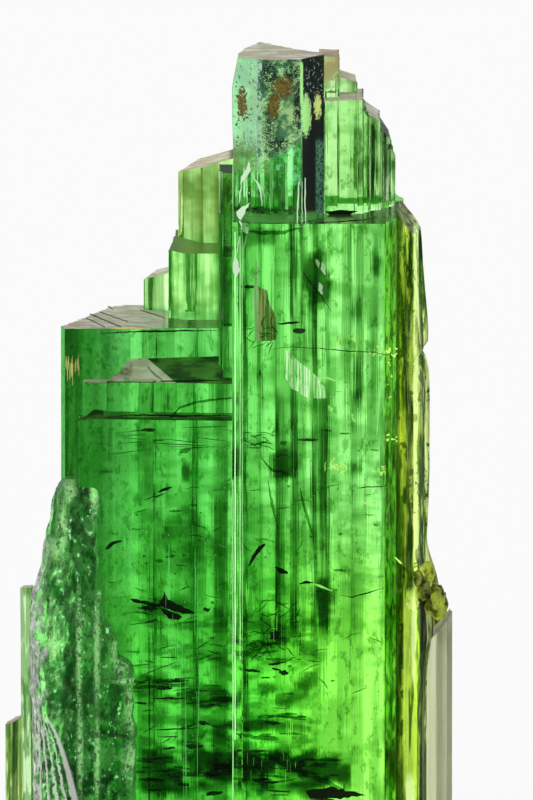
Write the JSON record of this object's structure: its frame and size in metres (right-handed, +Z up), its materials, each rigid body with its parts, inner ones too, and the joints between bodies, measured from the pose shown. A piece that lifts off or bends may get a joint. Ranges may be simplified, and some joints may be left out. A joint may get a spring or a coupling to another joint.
{
  "type": "green tourmaline crystal group",
  "caption": "Free-standing group of parallel green tourmaline prisms with stepped flat ends, cut off flat at the base.",
  "frame": {"origin": "middle of the flat cut base", "axes": "+Z up along the crystals' long axis, -Y towards the viewer of the picture, +X to the viewer's right"},
  "size_m": [0.0224, 0.0116, 0.0455],
  "materials": {
    "green_crystal": "clear vivid green crystal, polished by growth, with etched and frosted patches",
    "grey_green_crystal": "striated greyish green crystal, half clear",
    "needle_crystal": "striated olive green crystal, half clear"
  },
  "bodies": {
    "root": {"crystal_group": "green_crystal", "right_side_crystal": "grey_green_crystal", "left_needle_inner": "needle_crystal", "left_needle_outer": "needle_crystal"}
  },
  "joints": []
}
